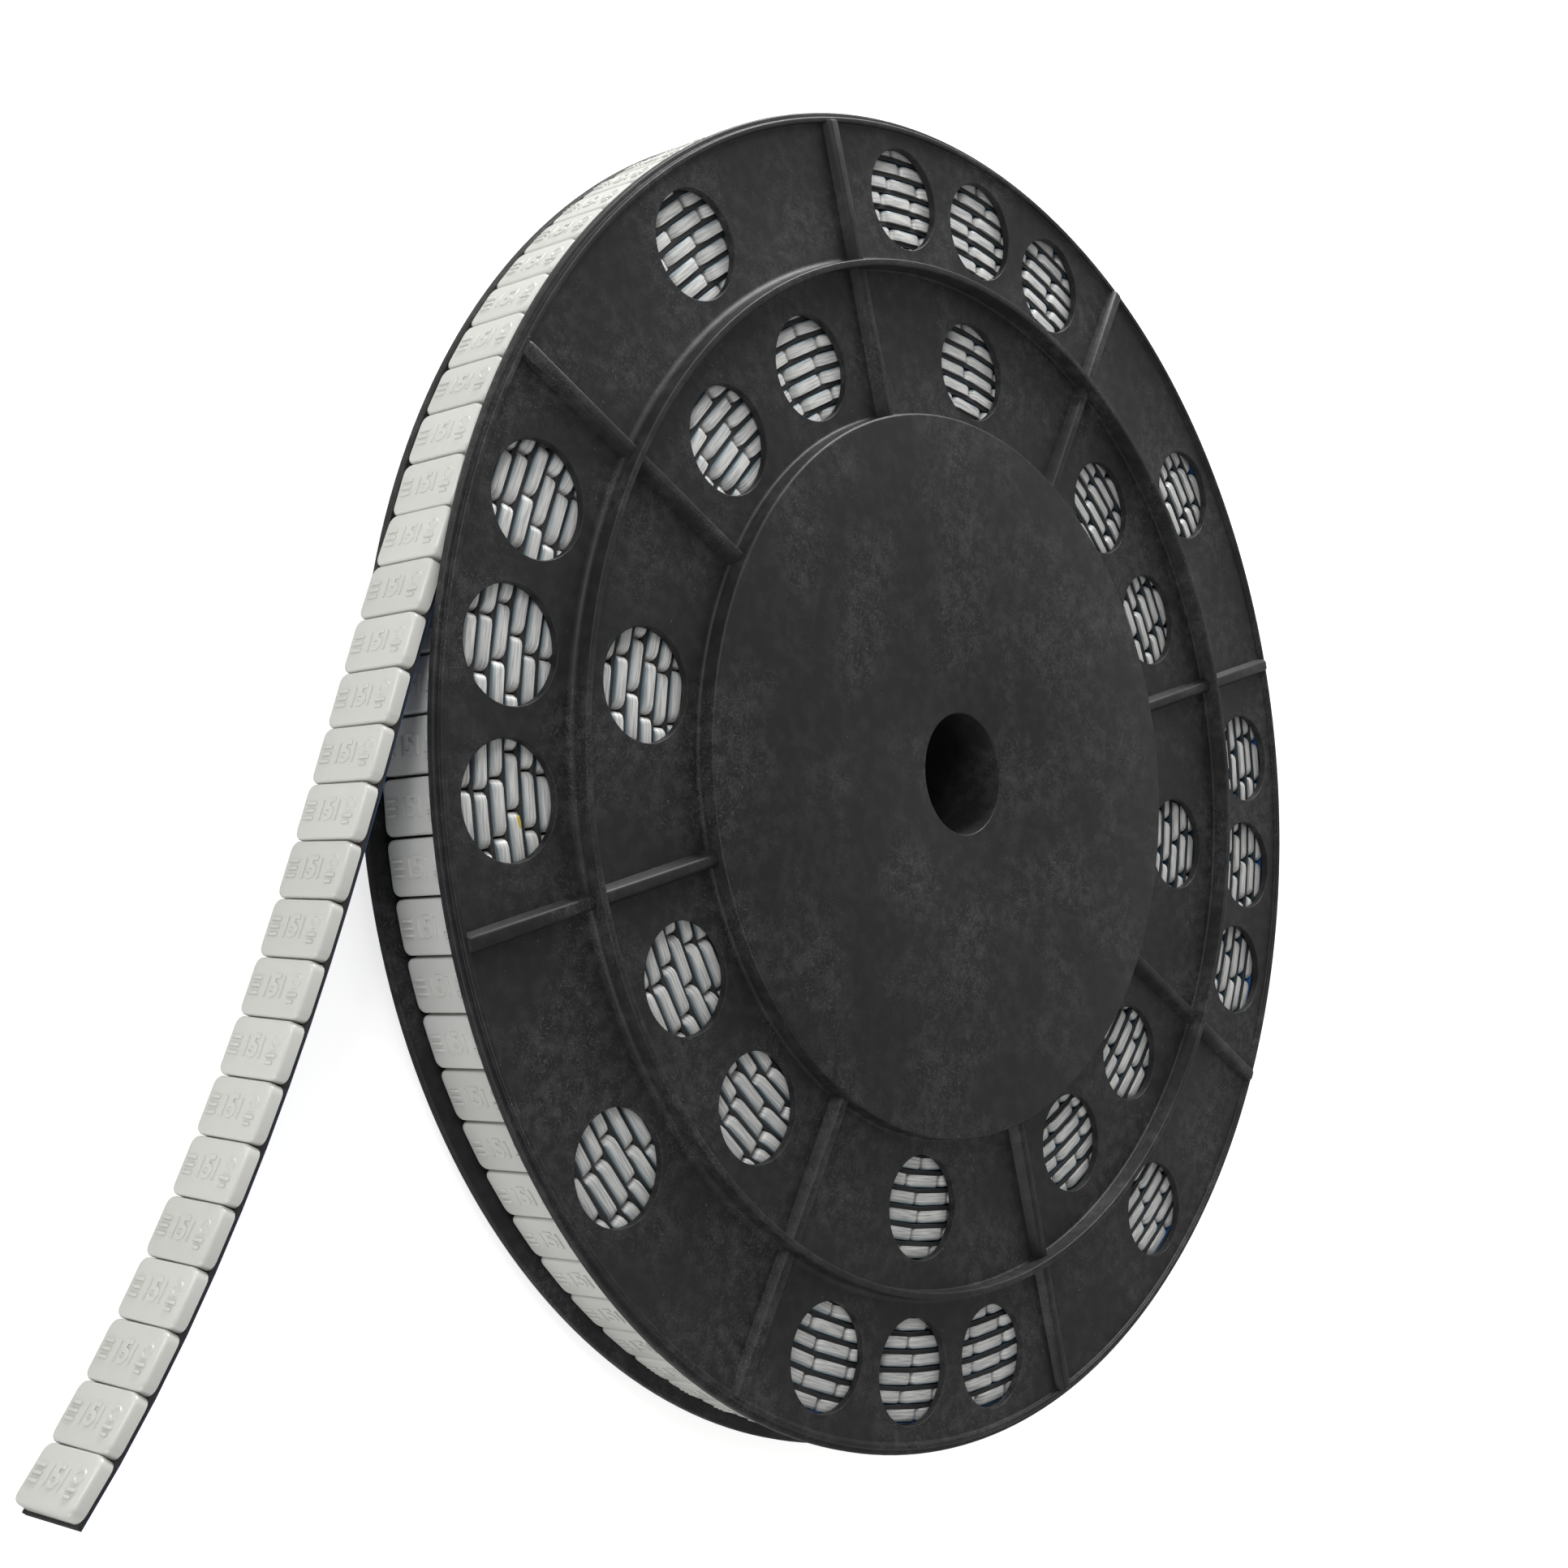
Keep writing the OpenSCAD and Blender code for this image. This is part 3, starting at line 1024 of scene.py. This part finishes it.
@dataclass(frozen=True)
class ZincedSides(Finish):
    """The wound weights' sheared sides: dull pale zinc with streaks along the tape, and a teal-grey
    painted shade on the rounded outer edge.
    """

    body: str = "#dddcd8"
    streak: str = "#a6a9aa"
    # Teal-grey painted shade for the rounded outer edge of each side.
    painted_edge_shade: str = "#5b7580"
    fleck: str = "#b8a42c"
    roughness: float = 0.45
    metallic: float = 0.12
    streak_length: float = 7.0
    streak_width: float = 0.42
    streak_range: Point = (0.42, 0.68)
    streak_jump: float = 900.0
    painted_edge_shade_range: Point = (2.0, 2.8)
    painted_edge_shade_share: float = 0.85
    dull_share: float = 0.25
    fleck_place: tuple[float, float, float] = (135.1, 34.1, 26.0)
    fleck_turn: float = 108.0
    fleck_size: tuple[float, float, float] = (2.0, 0.45, 0.8)
    fleck_edge: Point = (1.1, 0.9)

    def material(self) -> bpy.types.Material:
        """Build the material."""
        material, shader = self.start(
            "zinced_steel_sides", roughness=self.roughness, metallic=self.metallic
        )
        tree = material.node_tree
        tone = add_node(tree, "ShaderNodeAttribute", attribute_name="tone").outputs["Fac"]
        side = add_node(tree, "ShaderNodeUVMap", uv_map="side").outputs[0]
        far = self.product(tree, tone, self.streak_jump)
        jump = add_node(tree, "ShaderNodeCombineXYZ", {"X": far}).outputs[0]
        shifted = add_node(tree, "ShaderNodeVectorMath", {0: side, 1: jump}, operation="ADD").outputs[0]
        scale = (1 / self.streak_length, 1 / self.streak_width, 1.0)
        mapped = add_node(tree, "ShaderNodeMapping", {"Vector": shifted, "Scale": scale}).outputs[0]
        streaks = add_node(tree, "ShaderNodeTexNoise", {"Vector": mapped, "Scale": 1.0}).outputs[0]
        colour = self.mix(tree, self.ramp(tree, streaks, *self.streak_range), self.body, self.streak)
        # Painted shade: the sides turn teal-grey towards the rounded outer edge, from 2.0 to 2.8 mm up.
        high = add_node(tree, "ShaderNodeSeparateXYZ", {0: side}).outputs["Y"]
        painted_edge_shade = self.product(tree, self.ramp(tree, high, *self.painted_edge_shade_range), self.painted_edge_shade_share)
        colour = self.mix(tree, painted_edge_shade, colour, self.painted_edge_shade)
        colour = self.mix(tree, self.product(tree, tone, self.dull_share), colour, self.streak)
        tree.links.new(self.with_fleck(tree, colour), shader.inputs["Base Color"])
        return material

    def with_fleck(self, tree: bpy.types.NodeTree, colour: bpy.types.NodeSocket) -> bpy.types.NodeSocket:
        """Paint the one yellow fleck of dirt, in the second hole from the peel."""
        inputs = {
            "Vector": self.spots(tree),
            "Location": Vector(self.fleck_place) * MM,
            "Rotation": (0.0, 0.0, math.radians(self.fleck_turn)),
            "Scale": Vector(self.fleck_size) * MM,
        }
        near = add_node(tree, "ShaderNodeMapping", inputs, vector_type="TEXTURE").outputs[0]
        far = add_node(tree, "ShaderNodeVectorMath", {0: near}, operation="LENGTH").outputs["Value"]
        return self.mix(tree, self.ramp(tree, far, *self.fleck_edge), colour, self.fleck)


@dataclass(frozen=True)
class ClosedCellFoam(Finish):
    """Black polyethylene foam tape, slit at its edges: a dull, finely pored black."""

    body: str = "#201f1f"
    pore: str = "#333231"
    roughness: float = 0.85
    ior: float = 1.5
    pore_size: float = 0.5
    pore_range: Point = (0.45, 0.7)

    def material(self) -> bpy.types.Material:
        """Build the material."""
        material, shader = self.start("black_polyethylene_foam", roughness=self.roughness, ior=self.ior)
        tree = material.node_tree
        pores = self.ramp(tree, self.noise(tree, self.spots(tree), self.pore_size), *self.pore_range)
        tree.links.new(self.mix(tree, pores, self.body, self.pore), shader.inputs["Base Color"])
        return material


@dataclass(frozen=True)
class LinerFilm(Finish):
    """Siliconised polyethylene release film: a glossy blue; a copy in dull slate is painted shade on the
    film in the roll.
    """

    name: str = "blue_release_film"
    body: str = "#1d4a82"
    light: str = "#3369a6"
    roughness: float = 0.3
    ior: float = 1.5
    crease_size: float = 8.0
    crease_range: Point = (0.4, 0.7)

    def material(self) -> bpy.types.Material:
        """Build the material."""
        material, shader = self.start(self.name, roughness=self.roughness, ior=self.ior)
        tree = material.node_tree
        creases = self.ramp(tree, self.noise(tree, self.spots(tree), self.crease_size), *self.crease_range)
        tree.links.new(self.mix(tree, creases, self.body, self.light), shader.inputs["Base Color"])
        return material


@dataclass(frozen=True)
class Softbox:
    """A square lamp that shines at the object from one side, in metres and watts."""

    way: tuple[float, float, float]
    power: float
    size: float
    far: float

    def hang(self, aim: Vector) -> None:
        """Hang the lamp, turned to a point."""
        data = bpy.data.lights.new("softbox", "AREA")
        data.energy, data.size = self.power, self.size
        lamp = bpy.data.objects.new("softbox", data)
        bpy.context.scene.collection.objects.link(lamp)
        way = Vector(self.way).normalized()
        lamp.location = aim + way * self.far
        lamp.rotation_euler = way.to_track_quat("Z", "Y").to_euler()


@dataclass
class Studio:
    """The pale floor, the soft light and the camera."""

    floor_size: float = 6.0
    floor_tone: str = "#e8e8e6"
    glow: float = 0.72
    sky: float = 0.62
    zenith: float = 0.34
    lamps: tuple[Softbox, ...] = (
        Softbox((1.0, -0.6, 0.7), 6.0, 0.35, 1.4),
        Softbox((-0.25, -0.95, 0.18), 41.0, 0.8, 1.7),
        Softbox((0.8, 0.7, 0.12), 10.5, 0.9, 1.6),
    )
    aim: tuple[float, float, float] = (0.06, 0.013, 0.028)
    eye: tuple[float, float, float] = (0.42572, 0.10349, 0.36334)
    eye_turn: tuple[float, float, float] = (5.794, -48.100, -173.904)
    lens: float = 51.04

    def floor(self) -> None:
        """Lay the floor: it looks white to the camera and keeps the object's shadow."""
        bpy.ops.object.select_all(action="DESELECT")
        bpy.ops.mesh.primitive_plane_add(size=self.floor_size)
        floor = bpy.context.object
        floor.name = "floor"
        material = bpy.data.materials.new("pale_floor")
        material.use_nodes = True
        tree = material.node_tree
        tree.nodes.clear()
        paint = add_node(tree, "ShaderNodeBsdfDiffuse", {"Color": srgb(self.floor_tone)})
        shine = add_node(tree, "ShaderNodeEmission", {"Strength": self.glow})
        total = add_node(tree, "ShaderNodeAddShader", {0: paint.outputs[0], 1: shine.outputs[0]})
        path = add_node(tree, "ShaderNodeLightPath").outputs["Is Camera Ray"]
        mixed = add_node(tree, "ShaderNodeMixShader", {0: path, 1: paint.outputs[0], 2: total.outputs[0]})
        add_node(tree, "ShaderNodeOutputMaterial", {0: mixed.outputs[0]})
        floor.data.materials.append(material)

    def world(self) -> None:
        """Light all sides, less from overhead, by a sky that looks white to the camera."""
        world = bpy.data.worlds.new("studio")
        bpy.context.scene.world = world
        world.use_nodes = True
        tree = world.node_tree
        tree.nodes.clear()
        path = add_node(tree, "ShaderNodeLightPath").outputs["Is Camera Ray"]
        way = add_node(tree, "ShaderNodeTexCoord").outputs["Generated"]
        high = add_node(tree, "ShaderNodeSeparateXYZ", {0: way}).outputs["Z"]
        fade = {"Value": high, "To Min": self.sky, "To Max": self.zenith}
        strength = add_node(tree, "ShaderNodeMapRange", fade).outputs[0]
        dim = add_node(tree, "ShaderNodeBackground", {"Strength": strength})
        white = add_node(tree, "ShaderNodeBackground", {"Strength": 1.0})
        for node in (dim, white):
            node.inputs["Color"].default_value = (1, 1, 1, 1)
        mixed = add_node(tree, "ShaderNodeMixShader", {0: path, 1: dim.outputs[0], 2: white.outputs[0]})
        add_node(tree, "ShaderNodeOutputWorld", {0: mixed.outputs[0]})

    def camera(self) -> None:
        """Set the camera at the photo's viewing angle."""
        data = bpy.data.cameras.new("camera")
        data.lens, data.sensor_width = self.lens, 36.0
        data.clip_start, data.clip_end = 0.01, 20.0
        camera = bpy.data.objects.new("camera", data)
        bpy.context.scene.collection.objects.link(camera)
        camera.location = self.eye
        camera.rotation_euler = [math.radians(turn) for turn in self.eye_turn]
        bpy.context.scene.camera = camera

    def build(self) -> None:
        """Build the floor, the world, the lamps and the camera."""
        bpy.context.scene.view_settings.view_transform = "Standard"
        self.floor()
        self.world()
        for lamp in self.lamps:
            lamp.hang(Vector(self.aim))
        self.camera()


def dress(node: str, material: bpy.types.Material) -> None:
    """Give a CAD node that stays in view its finish."""
    mesh = bpy.data.objects[node].data
    mesh.materials.clear()
    mesh.materials.append(material)


def main() -> None:
    """Load the frame, build each piece, and note the sizes."""
    logging.basicConfig(level=logging.INFO, format="%(name)s: %(message)s")
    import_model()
    bpy.ops.object.select_all(action="DESELECT")
    styrene = MouldedStyrene().material()
    foam, liner = ClosedCellFoam().material(), LinerFilm().material()
    dress("foam_tape", foam)
    dress("release_liner", liner)
    for side in Side:
        ReelHalf(side, styrene).build()
        LOG.info("reel half built: %s", side.name.lower())
    # Painted shade: the film between the wound turns gets a dull slate copy of the blue film.
    shaded_liner = LinerFilm("shaded_release_film", "#22333f", "#2c4250").material()
    roll = Roll(CoatedSteel().material(), ZincedSides().material(), foam, shaded_liner)
    roll.inner_turns()
    roll.outer_turn()
    roll.strand()
    LOG.info("roll built")
    Studio().build()


if __name__ == "__main__":
    main()
